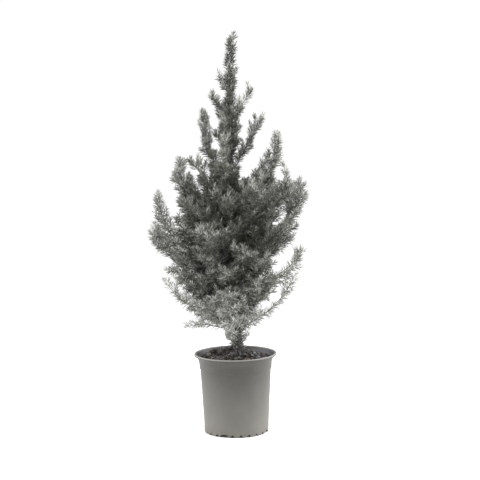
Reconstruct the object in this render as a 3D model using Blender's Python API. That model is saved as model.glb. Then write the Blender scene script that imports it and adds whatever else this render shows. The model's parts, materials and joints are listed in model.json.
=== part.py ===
"""A dwarf white spruce in its nursery pot: pot, potting soil, trunk, boughs and the foliage on each bough.

Metres, +Z up. The origin is the middle of the pot's flat underside. +X is the right of the front view
and -Y is the front. Azimuths are counted from +X towards the back, so 180 is the left and 270 the front.
"""

import math

import bmesh
import bpy
import numpy as np

# Clear space between pieces that touch
GAP = 0.0003

# Pot
POT_HEIGHT = 0.144
POT_WALL = 0.0018
POT_FLOOR = 0.0026
POT_EDGE = 0.0012
BASE_RADIUS = 0.058
WALL_TOP_RADIUS = 0.0642
RIM_RADIUS = 0.075
COLLAR_RADIUS = 0.0662
COLLAR_LOW = 0.116
COLLAR_HIGH = 0.1275
LIP_HEIGHT = 0.0026
POT_SIDES = 36
NOTCH_COUNT = 24
WIDE_NOTCH_EVERY = 6
NOTCH_PHASE = 248.0
# Width, height and steps of the arch
NOTCH_SMALL = (0.0045, 0.0036, 2)
NOTCH_WIDE = (0.0145, 0.0046, 4)
NOTCH_DEPTH = 0.006

# Soil
SOIL_EDGE_HEIGHT = 0.1300
SOIL_MIDDLE_HEIGHT = 0.1385
SOIL_BUMP = 0.0016
SOIL_SIDES = 24
SOIL_RINGS = 4
TRUNK_SEAT_RADIUS = 0.0185

# Trunk
TREE_HEIGHT = 0.725
TRUNK_TOP = 0.618
TRUNK_RADIUS = 0.0086
TRUNK_TIP_RADIUS = 0.0020
LEADER_RADIUS = 0.0034
FLARE_WIDTH = 0.0070
FLARE_HEIGHT = 0.016
TRUNK_SIDES = 10
TRUNK_RINGS = 19
# Where the trunk's middle stands off the pot's axis, at heights that show in the front view
TRUNK_LEAN = (
    (0.135, 0.0042),
    (0.250, 0.0030),
    (0.420, -0.0012),
    (0.600, -0.0050),
    (0.660, -0.0032),
    (0.725, 0.0042),
)

# The crown's outline: how far from the pot's axis foliage stands at each height
CROWN_OUTLINE = (
    (0.165, 0.030),
    (0.185, 0.102),
    (0.225, 0.094),
    (0.250, 0.116),
    (0.285, 0.138),
    (0.330, 0.142),
    (0.355, 0.160),
    (0.430, 0.152),
    (0.470, 0.124),
    (0.500, 0.106),
    (0.540, 0.094),
    (0.575, 0.066),
    (0.610, 0.044),
    (0.650, 0.024),
    (0.726, 0.018),
)

# Boughs: name, azimuth, foot's height on the trunk, tip's reach from the axis, tip's height, and how far
# out and up along the way the bend lies
LOW_BEND = (0.74, 0.32)
MID_BEND = (0.82, 0.60)
HIGH_BEND = (1.04, 0.56)
STRAIGHT = (0.66, 0.68)
BOUGHS = (
    ("left_1", 188, 0.180, 0.093, 0.193, (0.62, 2.20)),
    ("right_1", 355, 0.188, 0.111, 0.288, LOW_BEND),
    ("left_2", 204, 0.196, 0.135, 0.287, LOW_BEND),
    ("front_1", 263, 0.200, 0.097, 0.262, LOW_BEND),
    ("back_1", 84, 0.204, 0.117, 0.275, LOW_BEND),
    ("right_2", 27, 0.211, 0.129, 0.314, MID_BEND),
    ("front_2", 284, 0.232, 0.096, 0.345, MID_BEND),
    ("left_3", 171, 0.222, 0.148, 0.361, MID_BEND),
    ("right_3", 329, 0.240, 0.141, 0.337, MID_BEND),
    ("left_4", 197, 0.252, 0.138, 0.440, HIGH_BEND),
    ("back_2", 121, 0.262, 0.133, 0.392, MID_BEND),
    ("front_3", 246, 0.272, 0.115, 0.372, MID_BEND),
    ("right_4", 9, 0.286, 0.118, 0.449, HIGH_BEND),
    ("back_3", 57, 0.298, 0.119, 0.448, HIGH_BEND),
    ("left_5", 162, 0.312, 0.102, 0.497, HIGH_BEND),
    ("front_4", 294, 0.326, 0.101, 0.452, MID_BEND),
    ("right_5", 327, 0.343, 0.115, 0.474, HIGH_BEND),
    ("back_4", 95, 0.362, 0.085, 0.520, HIGH_BEND),
    ("right_6", 22, 0.374, 0.091, 0.541, HIGH_BEND),
    ("left_6", 207, 0.394, 0.085, 0.502, STRAIGHT),
    ("front_5", 258, 0.408, 0.070, 0.532, HIGH_BEND),
    ("left_7", 169, 0.424, 0.052, 0.582, HIGH_BEND),
    ("right_7", 350, 0.468, 0.052, 0.563, STRAIGHT),
)
BOUGH_SIDES = 6
BOUGH_RINGS = 4
BARE_SHARE = 0.16
BOUGH_RADIUS_PER_LENGTH = 0.0145
BOUGH_LEAST_RADIUS = 0.0019
BOUGH_TAPER = 0.62
FOOT_RUN = 0.012
FOOT_ROOM = 1.2

# Short shoots up the leader, each straight off the trunk: azimuth, foot's height, reach and tip's height
LEADER_SHOOTS = (
    (64, 0.486, 0.040, 0.560),
    (252, 0.498, 0.038, 0.560),
    (184, 0.512, 0.044, 0.562),
    (118, 0.532, 0.032, 0.586),
    (300, 0.541, 0.031, 0.590),
    (356, 0.556, 0.036, 0.618),
    (170, 0.566, 0.034, 0.606),
    (70, 0.596, 0.022, 0.640),
    (205, 0.610, 0.026, 0.650),
)

# Foliage: twigs are three-sided, and their needles stand in whorls of three
TWIG_RADIUS = 0.0026
TWIG_END_RADIUS = 0.0014
TWIG_ROOT_RADIUS = 0.0009
STEM_RADIUS = 0.0030
TWIG_SPACING = 0.0145
TWIG_ANGLE = math.radians(42)
TWIG_SHARE = 0.56
TWIG_LONGEST = 0.052
TWIG_SHORTEST = 0.013
TWIG_LIFT = 0.30
MOST_TWIGS = 6
LAST_TWIG_SHARE = 0.93
TURN_SPREAD = 0.35
NEEDLE_LENGTH = 0.0155
LEADER_NEEDLE_LENGTH = 0.012
NEEDLE_ANGLE = math.radians(48)
WHORL_SPACING = 0.0115
TWIG_NECK = 0.009
LAST_STRETCH = 0.6
NEEDLE_APART = 0.0060
SPACE_MARGIN = 0.0024
LIMB_CLEARANCE = 0.0024
TWIG_RADII = (TWIG_ROOT_RADIUS, TWIG_RADIUS, TWIG_END_RADIUS)
GOLDEN_TURN = math.radians(137.508)
SEED = 20

POT_COLOUR = (0.24, 0.235, 0.21, 1.0)
SOIL_COLOUR = (0.06, 0.05, 0.045, 1.0)
BARK_COLOUR = (0.11, 0.105, 0.10, 1.0)
NEEDLE_COLOUR = (0.20, 0.22, 0.19, 1.0)


def material(name, colour, roughness):
    made = bpy.data.materials.new(name)
    made.use_nodes = True
    shader = made.node_tree.nodes["Principled BSDF"]
    shader.inputs["Base Color"].default_value = colour
    shader.inputs["Roughness"].default_value = roughness
    return made


def node(name, points, faces, finish):
    mesh = bpy.data.meshes.new(name)
    mesh.from_pydata([tuple(p) for p in points], [], faces)
    mesh.materials.append(finish)
    mesh.validate()
    made = bpy.data.objects.new(name, mesh)
    bpy.context.scene.collection.objects.link(made)
    return made


def smooth(made, degrees):
    made.data.shade_smooth()
    made.data.set_sharp_from_angle(angle=math.radians(degrees))


def unit(vector):
    return vector / np.linalg.norm(vector)


def outward(azimuth):
    turn = math.radians(azimuth)
    return np.array((math.cos(turn), math.sin(turn), 0.0))


def apply_modifiers(made):
    """Keeps the mesh that the modifiers give, and drops them."""
    graph = bpy.context.evaluated_depsgraph_get()
    mesh = bpy.data.meshes.new_from_object(made.evaluated_get(graph))
    made.modifiers.clear()
    made.data = mesh


def with_collection(made, others, operation, solver="EXACT"):
    """One Boolean of made with all of others, applied, and the others removed."""
    collection = bpy.data.collections.new(made.name + "_others")
    bpy.context.scene.collection.children.link(collection)
    for other in others:
        bpy.context.scene.collection.objects.unlink(other)
        collection.objects.link(other)
        other.hide_render = True
    boolean = made.modifiers.new("join", "BOOLEAN")
    boolean.operation = operation
    boolean.operand_type = "COLLECTION"
    boolean.collection = collection
    boolean.solver = solver
    bpy.context.view_layer.update()
    apply_modifiers(made)
    for other in others:
        bpy.data.objects.remove(other)
    bpy.data.collections.remove(collection)


# Pot and soil


def lathe(profile, sides):
    """Points and faces of (radius, height) pairs turned about Z. A radius of 0 closes on one point."""
    points, rings = [], []
    for radius, height in profile:
        ring = len(points)
        count = 1 if radius == 0 else sides
        for i in range(count):
            turn = 2 * math.pi * i / sides
            points.append((radius * math.cos(turn), radius * math.sin(turn), height))
        rings.append((ring, count))
    faces = []
    for (low, n_low), (high, n_high) in zip(rings, rings[1:]):
        for i in range(sides):
            j = (i + 1) % sides
            if n_low == 1:
                faces.append((low, high + j, high + i))
            elif n_high == 1:
                faces.append((low + i, low + j, high))
            else:
                faces.append((low + i, low + j, high + j, high + i))
    return points, faces


def wall_radius(height):
    """Radius of the pot's tapered wall, outside, below its collar."""
    return BASE_RADIUS + (WALL_TOP_RADIUS - BASE_RADIUS) * height / COLLAR_LOW


def pot_profile():
    """The pot's outline in radius and height, from the middle of its underside to the middle of its floor."""
    flare = RIM_RADIUS - COLLAR_RADIUS
    rise = POT_HEIGHT - COLLAR_HIGH
    flare_bend = COLLAR_RADIUS + 0.34 * flare
    flare_height = COLLAR_HIGH + 0.42 * rise
    outside = [
        (0, 0),
        (BASE_RADIUS - POT_EDGE, 0),
        (BASE_RADIUS, POT_EDGE),
        (WALL_TOP_RADIUS, COLLAR_LOW),
        (COLLAR_RADIUS - 0.5 * POT_EDGE, COLLAR_LOW + POT_EDGE),
        (COLLAR_RADIUS, COLLAR_HIGH),
        (flare_bend, flare_height),
        (RIM_RADIUS - POT_EDGE, POT_HEIGHT - LIP_HEIGHT),
        (RIM_RADIUS, POT_HEIGHT - 0.6 * LIP_HEIGHT),
        (RIM_RADIUS - 0.5 * POT_EDGE, POT_HEIGHT),
    ]
    inside = [
        (RIM_RADIUS - POT_WALL - POT_EDGE, POT_HEIGHT - 0.3 * POT_EDGE),
        (flare_bend - POT_WALL, flare_height + 0.5 * POT_EDGE),
        (COLLAR_RADIUS - POT_WALL, COLLAR_HIGH),
        (WALL_TOP_RADIUS - POT_WALL, COLLAR_LOW),
        (wall_radius(POT_FLOOR) - POT_WALL, POT_FLOOR),
        (0, POT_FLOOR),
    ]
    return outside + inside


def notch_cutter(name, azimuth, width, height, steps):
    """A drain notch's arch, run in through the foot of the wall."""
    across = unit(np.cross((0, 0, 1), outward(azimuth)))
    arch = [(-width / 2, -0.002)]
    for i in range(steps + 1):
        turn = math.pi * (1 - i / steps)
        arch.append((width / 2 * math.cos(turn), height * (0.35 + 0.65 * math.sin(turn))))
    arch.append((width / 2, -0.002))
    points = []
    for radius in (BASE_RADIUS - NOTCH_DEPTH, BASE_RADIUS + 0.004):
        for side, up in arch:
            points.append(outward(azimuth) * radius + across * side + np.array((0, 0, up)))
    n = len(arch)
    faces = [tuple(range(n)), tuple(range(2 * n - 1, n - 1, -1))]
    for i in range(n):
        j = (i + 1) % n
        faces.append((i, i + n, j + n, j))
    cutter = node(name, points, faces, None)
    facing_out(cutter)
    return cutter


def facing_out(made):
    work = bmesh.new()
    work.from_mesh(made.data)
    bmesh.ops.recalc_face_normals(work, faces=work.faces)
    work.to_mesh(made.data)
    work.free()


def make_pot(finish):
    pot = node("pot", *lathe(pot_profile(), POT_SIDES), finish)
    facing_out(pot)
    cutters = []
    for i in range(NOTCH_COUNT):
        size = NOTCH_WIDE if i % WIDE_NOTCH_EVERY == 0 else NOTCH_SMALL
        azimuth = NOTCH_PHASE + 360 * i / NOTCH_COUNT
        cutters.append(notch_cutter(f"notch_{i}", azimuth, *size))
    with_collection(pot, cutters, "DIFFERENCE")
    smooth(pot, 35)


def soil_height(radius):
    """The soil's mound, flat where the trunk stands."""
    limit = WALL_TOP_RADIUS - POT_WALL
    share = max(0.0, (radius - TRUNK_SEAT_RADIUS) / (limit - TRUNK_SEAT_RADIUS))
    return SOIL_MIDDLE_HEIGHT + (SOIL_EDGE_HEIGHT - SOIL_MIDDLE_HEIGHT) * share**0.8


def soil_limit(height):
    """How wide the soil may be at a height inside the pot, clear of the wall's flats."""
    inner = wall_radius(min(height, COLLAR_LOW)) - POT_WALL
    if height > COLLAR_LOW:
        inner += (COLLAR_RADIUS - WALL_TOP_RADIUS) * (height - COLLAR_LOW) / (COLLAR_HIGH - COLLAR_LOW)
    return inner * math.cos(math.pi / POT_SIDES) - GAP


def make_soil(finish):
    dice = np.random.default_rng(SEED)
    bottom = POT_FLOOR + GAP
    edge = soil_limit(SOIL_EDGE_HEIGHT)
    profile = [(0, bottom), (soil_limit(bottom), bottom), (soil_limit(COLLAR_LOW), COLLAR_LOW)]
    for i in range(SOIL_RINGS):
        radius = edge + (TRUNK_SEAT_RADIUS - edge) * i / (SOIL_RINGS - 1)
        profile.append((radius, soil_height(radius)))
    profile.append((0, SOIL_MIDDLE_HEIGHT))
    points, faces = lathe(profile, SOIL_SIDES)
    first_rough = 1 + 2 * SOIL_SIDES
    last_rough = first_rough + (SOIL_RINGS - 1) * SOIL_SIDES
    for i in range(first_rough, last_rough):
        x, y, z = points[i]
        points[i] = (x, y, z + SOIL_BUMP * dice.uniform(-1, 1))
    soil = node("soil", points, faces, finish)
    facing_out(soil)
    smooth(soil, 60)


# Limbs


def trunk_middle(height):
    """The trunk's middle at a height: its lean, read smoothly between the named heights."""
    heights, offsets = zip(*TRUNK_LEAN)
    i = int(np.clip(np.searchsorted(heights, height) - 1, 0, len(heights) - 2))
    share = np.clip((height - heights[i]) / (heights[i + 1] - heights[i]), 0, 1)
    ease = share * share * (3 - 2 * share)
    return np.array((offsets[i] + (offsets[i + 1] - offsets[i]) * ease, 0.0, height))


def trunk_foot_height():
    return SOIL_MIDDLE_HEIGHT + GAP


def trunk_radius(height):
    foot = trunk_foot_height()
    share = (height - foot) / (TRUNK_TOP - foot)
    taper = TRUNK_TIP_RADIUS + (TRUNK_RADIUS - TRUNK_TIP_RADIUS) * max(0.0, 1 - share) ** 0.95
    flare = FLARE_WIDTH * math.exp(-((height - foot) / FLARE_HEIGHT) * 1.6)
    return taper + flare


def tube(path, radii, side, sides):
    """Rings round a path, closed at both ends. side is a direction across the whole path."""
    rings = []
    for i, middle in enumerate(path):
        ahead = unit(path[min(i + 1, len(path) - 1)] - path[max(i - 1, 0)])
        up = unit(np.cross(ahead, side))
        across = np.cross(up, ahead)
        turns = 2 * np.pi * np.arange(sides) / sides
        rings.append(middle + radii[i] * (np.outer(np.cos(turns), across) + np.outer(np.sin(turns), up)))
    points = np.concatenate(rings)
    faces = [tuple(range(sides)), tuple(len(points) - 1 - i for i in range(sides))]
    for i in range(len(path) - 1):
        for j in range(sides):
            k = (j + 1) % sides
            faces.append((i * sides + j, i * sides + k, (i + 1) * sides + k, (i + 1) * sides + j))
    return points, faces


def make_trunk(finish):
    foot = trunk_foot_height()
    shares = (np.arange(TRUNK_RINGS) / (TRUNK_RINGS - 1)) ** 1.6
    heights = foot + (TRUNK_TOP - foot) * shares
    path = np.array([trunk_middle(h) for h in heights])
    radii = [trunk_radius(h) for h in heights]
    points, faces = tube(path, radii, np.array((0.0, 1.0, 0.0)), TRUNK_SIDES)
    points[:TRUNK_SIDES, 2] = foot
    trunk = node("trunk", points, faces, finish)
    facing_out(trunk)
    smooth(trunk, 40)


def bezier(start, bend, end, share):
    share = np.asarray(share, float)[..., None]
    return start * (1 - share) ** 2 + bend * 2 * share * (1 - share) + end * share**2


class Limb:
    """A bough's line from the trunk's middle to its tip. Its foliage starts at bare along it."""

    def __init__(self, name, azimuth, foot, reach, tip, bend, bare):
        out = outward(azimuth)
        self.name = name
        self.start = trunk_middle(foot)
        self.end = out * reach + np.array((0, 0, tip))
        if abs(out[0]) < 0.9:
            self.end = self.end + trunk_middle(tip) * np.array((1, 1, 0))
        run = self.end - self.start
        flat = run * np.array((1, 1, 0))
        self.bend = self.start + flat * bend[0] + np.array((0, 0, run[2] * bend[1]))
        self.side = unit(np.cross((0, 0, 1), flat))
        self.bare = bare
        line = self.at(np.linspace(0, 1, 60))
        self.length = float(np.linalg.norm(np.diff(line, axis=0), axis=1).sum())
        self.root_radius = max(BOUGH_LEAST_RADIUS, BOUGH_RADIUS_PER_LENGTH * self.length)

    def at(self, share):
        return bezier(self.start, self.bend, self.end, share)

    def ahead(self, share):
        return unit(self.at(min(1.0, share + 0.02)) - self.at(share - 0.02))

    def tip_radius(self):
        return self.root_radius * (1 - BOUGH_TAPER)


def off_trunk(points, direction, which):
    """Slides these points along direction until they stand GAP clear of the trunk."""
    for i in which:
        near, far = 0.0, 0.05
        for _ in range(40):
            middle = (near + far) / 2
            at = points[i] + direction * middle
            clear = np.linalg.norm((at - trunk_middle(at[2]))[:2]) - trunk_radius(at[2])
            near, far = (middle, far) if clear < GAP else (near, middle)
        points[i] = points[i] + direction * far
    return points


def make_bough(limb, finish):
    """The bare limb, from the trunk to where its foliage starts."""
    first = share_off_trunk(limb)
    shares = np.linspace(first, limb.bare, BOUGH_RINGS)
    path = limb.at(shares)
    radii = np.interp(shares, (first, limb.bare), (limb.root_radius, limb.tip_radius()))
    points, faces = tube(path, radii, limb.side, BOUGH_SIDES)
    ahead = unit(path[1] - path[0])
    points = np.vstack((points, path[0]))
    middle = len(points) - 1
    foot = [*range(BOUGH_SIDES), middle]
    points[foot] -= ahead * FOOT_RUN
    points = off_trunk(points, ahead, foot)
    faces[0:1] = [((i + 1) % BOUGH_SIDES, i, middle) for i in range(BOUGH_SIDES)]
    bough = node(f"bough_{limb.name}", points, faces, finish)
    facing_out(bough)
    smooth(bough, 50)


def share_off_trunk(limb):
    """How far along its line the limb is clear of the trunk, with room for its saddle-shaped foot."""
    room = FOOT_ROOM * limb.root_radius + GAP
    for share in np.linspace(0, 1, 401):
        at = limb.at(share)
        if np.linalg.norm((at - trunk_middle(at[2]))[:2]) > trunk_radius(at[2]) + room:
            return float(share)
    raise ValueError(limb.name + " never leaves the trunk")


# Foliage


class Space:
    """What each mass may fill: the points inside the crown's outline that lie nearer to its own stem than to
    any other, clear of the limbs."""

    def __init__(self, limbs):
        self.stems = {}
        for limb in limbs:
            self.stems[limb.name] = limb.at(np.linspace(limb.bare, 1, 70))
        solid = []
        for height in np.arange(trunk_foot_height(), TRUNK_TOP, 0.003):
            solid.append((*trunk_middle(height), trunk_radius(height)))
        for limb in limbs:
            for share in np.linspace(0, limb.bare, 30) if limb.bare else ():
                solid.append((*limb.at(share), limb.root_radius))
        self.solid = np.array(solid)

    def allows(self, point, owner):
        if np.linalg.norm(point[:2]) > np.interp(point[2], *zip(*CROWN_OUTLINE), right=0.0):
            return False
        own = np.linalg.norm(self.stems[owner] - point, axis=1).min()
        for name, stem in self.stems.items():
            if name != owner and np.linalg.norm(stem - point, axis=1).min() < own + SPACE_MARGIN:
                return False
        reach = np.linalg.norm(self.solid[:, :3] - point, axis=1) - self.solid[:, 3]
        return reach.min() > LIMB_CLEARANCE


def needled_twig(line, radii, side, needle_length, allows):
    """A three-sided twig along line(share) as points and faces. Each ring is turned 60 degrees on the last,
    and a needle stands on every second face between two rings, unless allows() refuses its place."""
    dense = line(np.linspace(0, 1, 40))
    length = float(np.linalg.norm(np.diff(dense, axis=0), axis=1).sum())
    neck = TWIG_NECK / length
    stretches = max(1, round((length - TWIG_NECK) / WHORL_SPACING))
    step = (1 - neck) / (stretches + LAST_STRETCH)
    shares = [0.0, *(neck + step * np.arange(stretches + 1))]
    points = []
    rings = []
    for i, share in enumerate(shares):
        ahead = unit(line(np.array(min(1.0, share + 0.03))) - line(np.array(max(0.0, share - 0.03))))
        across = unit(side - ahead * (side @ ahead))
        up = np.cross(ahead, across)
        radius = np.interp(share, (0, neck, 1), radii)
        middle = line(np.array(share))
        rings.append((len(points), middle, ahead))
        for j in range(3):
            angle = math.pi / 3 * (i + 2 * j)
            points.append(middle + radius * (across * math.cos(angle) + up * math.sin(angle)))
    faces = [(2, 1, 0)]
    for i in range(len(shares) - 1):
        low, middle, ahead = rings[i]
        high = rings[i + 1][0]
        for j in range(3):
            k = (j + 1) % 3
            faces.append((low + k, high + k, high + j))
            root = (points[low + j] + points[low + k] + points[high + j]) / 3
            out = unit(root - middle - ahead * ((root - middle) @ ahead))
            lean = out * math.sin(NEEDLE_ANGLE) + ahead * math.cos(NEEDLE_ANGLE)
            tip = root + needle_length * lean
            if i and allows(tip) and allows((root + tip) / 2):
                points.append(tip)
                tip = len(points) - 1
                faces += [(low + j, low + k, tip), (low + k, high + j, tip), (high + j, low + j, tip)]
            else:
                faces.append((low + j, low + k, high + j))
    points.append(line(np.array(1.0)))
    last = rings[-1][0]
    faces += [(last + j, last + (j + 1) % 3, len(points) - 1) for j in range(3)]
    return np.array(points), faces


def side_twigs(limb, count, dice):
    """The seeded rule: where each side twig leaves its stem, which way it points and how long it may grow."""
    first = max(limb.bare, share_off_trunk(limb)) + TWIG_NECK / limb.length
    for i in range(count):
        share = first + (LAST_TWIG_SHARE - first) * (i + 0.35) / count
        ahead = limb.ahead(share)
        turn = GOLDEN_TURN * i + dice.uniform(-TURN_SPREAD, TURN_SPREAD)
        up = np.cross(ahead, limb.side)
        out = limb.side * math.cos(turn) - up * math.sin(turn)
        direction = unit(out * math.sin(TWIG_ANGLE) + ahead * math.cos(TWIG_ANGLE))
        left = (1 - share) * limb.length
        length = min(TWIG_LONGEST, TWIG_SHARE * left + TWIG_SHORTEST) * dice.uniform(0.85, 1.1)
        yield share, direction, length


def grown_twig(foot, direction, length, allows):
    """The longest twig up to that length that stays in its mass's space, as three Bezier points, or None."""
    for trim in (1.0, 0.82, 0.66, 0.52, 0.4):
        grown = length * trim
        if grown < TWIG_SHORTEST:
            return None
        end = foot + direction * grown + np.array((0, 0, TWIG_LIFT * grown))
        bend = foot + direction * grown * 0.5
        if all(allows(p) for p in bezier(foot, bend, end, (0.45, 0.7, 0.85, 1.0))):
            return foot, bend, end
    return None


def make_mass(limb, number, space, finish):
    """One bough's foliage: its stem and side twigs, all with needles, fused into one solid."""
    dice = np.random.default_rng(SEED + number)

    def in_space(point):
        return space.allows(point, limb.name)

    on_trunk = not limb.bare
    first = share_off_trunk(limb) if on_trunk else limb.bare + GAP / limb.length
    foot_radius = TWIG_ROOT_RADIUS if on_trunk else limb.tip_radius()

    def stem_line(share):
        return limb.at(first + (1 - first) * np.asarray(share))

    lines = [stem_line]
    sides = [limb.side]
    count = min(MOST_TWIGS, int((1 - first) * limb.length / TWIG_SPACING))
    for share, direction, length in side_twigs(limb, count, dice):
        grown = grown_twig(limb.at(share), direction, length, in_space)
        if grown is not None:
            lines.append(lambda s, g=grown: bezier(*g, s))
            sides.append(unit(np.cross(direction, limb.ahead(share))))
    traces = np.array([line(np.linspace(0, 1, 30)) for line in lines])
    pieces = []
    for i, (line, side) in enumerate(zip(lines, sides)):
        others = np.delete(traces, i, axis=0).reshape(-1, 3)

        def clear(point, others=others):
            near = others.size and np.linalg.norm(others - point, axis=1).min() < NEEDLE_APART
            return not near and in_space(point)

        radii = TWIG_RADII if i else (foot_radius, STEM_RADIUS, TWIG_END_RADIUS)
        points, faces = needled_twig(line, radii, side, NEEDLE_LENGTH, clear)
        if on_trunk and i == 0:
            ahead = limb.ahead(first)
            points[:3] -= ahead * FOOT_RUN
            points = off_trunk(points, ahead, range(3))
        name = f"twig_{limb.name}_{i}" if i else f"foliage_{limb.name}"
        pieces.append(node(name, points, faces, finish))
        facing_out(pieces[-1])
    if len(pieces) > 1:
        with_collection(pieces[0], pieces[1:], "UNION")


def make_top(space, finish):
    """The leader's last shoot, straight on from the trunk's tip."""
    foot, tip = trunk_middle(TRUNK_TOP + GAP), trunk_middle(TREE_HEIGHT)

    def line(share):
        return foot + (tip - foot) * np.asarray(share, float)[..., None]

    side = np.array((0.0, 1.0, 0.0))
    radii = (TRUNK_TIP_RADIUS, LEADER_RADIUS, TWIG_END_RADIUS)
    shape = needled_twig(line, radii, side, LEADER_NEEDLE_LENGTH, lambda p: space.allows(p, Leader.name))
    facing_out(node("foliage_leader", *shape, finish))


class Leader:
    """Stands for the leader's last shoot where spaces are shared out."""

    name = "leader"
    bare = 0.0

    def at(self, shares):
        return np.array([trunk_middle(TRUNK_TOP + (TREE_HEIGHT - TRUNK_TOP) * s) for s in shares])


def main():
    for old in list(bpy.data.objects):
        bpy.data.objects.remove(old)
    plastic = material("pot_plastic", POT_COLOUR, 0.55)
    earth = material("potting_soil", SOIL_COLOUR, 0.95)
    bark = material("bark", BARK_COLOUR, 0.85)
    needles = material("frosted_needles", NEEDLE_COLOUR, 0.7)
    make_pot(plastic)
    make_soil(earth)
    make_trunk(bark)
    boughs = [Limb(*row, BARE_SHARE) for row in BOUGHS]
    shoots = []
    for i, (azimuth, foot, reach, tip) in enumerate(LEADER_SHOOTS):
        shoots.append(Limb(f"shoot_{i + 1}", azimuth, foot, reach, tip, STRAIGHT, 0.0))
    space = Space([*boughs, *shoots, Leader()])
    for limb in boughs:
        make_bough(limb, bark)
    for number, limb in enumerate(boughs + shoots):
        make_mass(limb, number, space, needles)
    make_top(space, needles)


main()
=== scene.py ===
"""A frosted dwarf spruce in its nursery pot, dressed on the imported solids.

Metres, +Z up, the solids' own frame: +X is the right of the front view and -Y is the front.
Trunk, boughs and shoots repeat the solids' sizes, and the same seeded rule carries the boughs on to fine
twigs and single needles.
"""

import json
import math

import bmesh
import bpy
import numpy as np
from mathutils import Matrix, Vector, noise

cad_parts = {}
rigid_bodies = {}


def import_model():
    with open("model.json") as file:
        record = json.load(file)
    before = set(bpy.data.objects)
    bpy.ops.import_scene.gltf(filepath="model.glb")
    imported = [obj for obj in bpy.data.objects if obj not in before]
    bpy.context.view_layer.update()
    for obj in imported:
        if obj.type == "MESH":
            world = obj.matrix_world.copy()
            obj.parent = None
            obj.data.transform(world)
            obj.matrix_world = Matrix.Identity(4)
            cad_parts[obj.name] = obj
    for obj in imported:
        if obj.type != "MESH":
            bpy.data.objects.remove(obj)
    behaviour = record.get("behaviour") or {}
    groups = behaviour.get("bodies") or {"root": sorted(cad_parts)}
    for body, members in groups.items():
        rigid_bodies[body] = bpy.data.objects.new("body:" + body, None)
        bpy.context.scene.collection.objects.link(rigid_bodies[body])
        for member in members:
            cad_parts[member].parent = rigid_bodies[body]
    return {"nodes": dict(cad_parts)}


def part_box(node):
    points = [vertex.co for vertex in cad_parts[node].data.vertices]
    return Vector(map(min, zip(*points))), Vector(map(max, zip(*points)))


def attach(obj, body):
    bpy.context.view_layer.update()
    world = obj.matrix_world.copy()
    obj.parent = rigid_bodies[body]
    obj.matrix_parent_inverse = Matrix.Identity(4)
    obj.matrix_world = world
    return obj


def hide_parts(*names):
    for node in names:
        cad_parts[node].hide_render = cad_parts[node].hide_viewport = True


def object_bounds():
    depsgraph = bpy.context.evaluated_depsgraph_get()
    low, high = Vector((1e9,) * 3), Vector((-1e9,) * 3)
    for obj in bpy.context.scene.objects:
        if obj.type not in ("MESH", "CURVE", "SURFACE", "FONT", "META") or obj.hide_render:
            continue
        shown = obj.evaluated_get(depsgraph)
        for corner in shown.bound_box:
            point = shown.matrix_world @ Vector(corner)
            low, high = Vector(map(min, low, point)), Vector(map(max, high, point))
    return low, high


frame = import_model()
cad_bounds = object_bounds()

# Pot, as in the solids: a wall that widens to a collar, and the collar to the lip
POT_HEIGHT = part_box("pot")[1].z
RIM_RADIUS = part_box("pot")[1].x
POT_WALL = 0.0018
POT_FLOOR = 0.0026
POT_EDGE = 0.0012
BASE_RADIUS = 0.058
WALL_TOP_RADIUS = 0.0642
COLLAR_RADIUS = 0.0662
COLLAR_LOW = 0.116
COLLAR_HIGH = 0.1275
COLLAR_FLARE = 0.0018
LIP_FOOT = 0.1398
EDGE_ROUND = 0.0009
SHARP_ANGLE = math.radians(40)
# Drain notches round the foot: how many, how often a wide one comes, the first one's azimuth, the width and
# height of both kinds, and how far they run in and out
NOTCH_COUNT = 24
WIDE_NOTCH_EVERY = 6
NOTCH_PHASE = 248.0
NOTCH_SMALL = (0.0060, 0.0044)
NOTCH_WIDE = (0.0160, 0.0056)
NOTCH_DEPTH = 0.006
NOTCH_PAST_WALL = 0.004
NOTCH_BELOW = 0.002
NOTCH_ARCH_STEPS = 8
# The underside, recessed inside a foot ring
RECESS = 0.0060
FOOT_RING = 0.0030

# Soil: its height at the trunk in the solids, at the top of the heap and by the wall
SOIL_MIDDLE_HEIGHT = 0.1385
SOIL_TOP = 0.1475
SOIL_SHORE = 0.1338
SOIL_GAP = 0.0004
# The heap: its top's radius and how its slope bends, then a second heap at the left of the trunk
HEAP_TOP_RADIUS = 0.010
HEAP_SLOPE = 0.75
SIDE_HEAP_PLACE = (-0.032, 0.014)
SIDE_HEAP_HEIGHT = 0.0068
SIDE_HEAP_SPREAD = 0.00055
LUMP_HEIGHT = 0.0022
LUMPS_PER_METRE = 75
# Chips on the soil: how many, their sizes, and the shares of bark, grey, tan and perlite
CHIPS = 1500
BIG_CHIPS = 190
BIG_CHIP_SIZE = (0.0022, 0.0042)
SMALL_CHIP_SIZE = (0.0005, 0.0019)
CHIP_SHARES = (0.42, 0.47, 0.09, 0.02)
# Surface roots: how many, how far out they start and reach, how high they leave the trunk, and their radii
ROOTS = 72
ROOT_START = 0.007
ROOT_REACH = (0.008, 0.036)
ROOT_RISE = 0.011
ROOT_RADIUS = (0.0011, 0.0021)
ROOT_TIP_RADIUS = 0.0004

# Trunk, as in the solids
TREE_HEIGHT = cad_bounds[1].z
TRUNK_TOP = 0.618
TRUNK_RADIUS = 0.0086
TRUNK_TIP_RADIUS = 0.0020
FLARE_WIDTH = 0.0070
FLARE_HEIGHT = 0.016
# Where the trunk's middle stands along x at each height
TRUNK_LEAN = (
    (0.135, 0.0042),
    (0.250, 0.0030),
    (0.420, -0.0012),
    (0.600, -0.0050),
    (0.660, -0.0032),
    (0.725, 0.0042),
)

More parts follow.
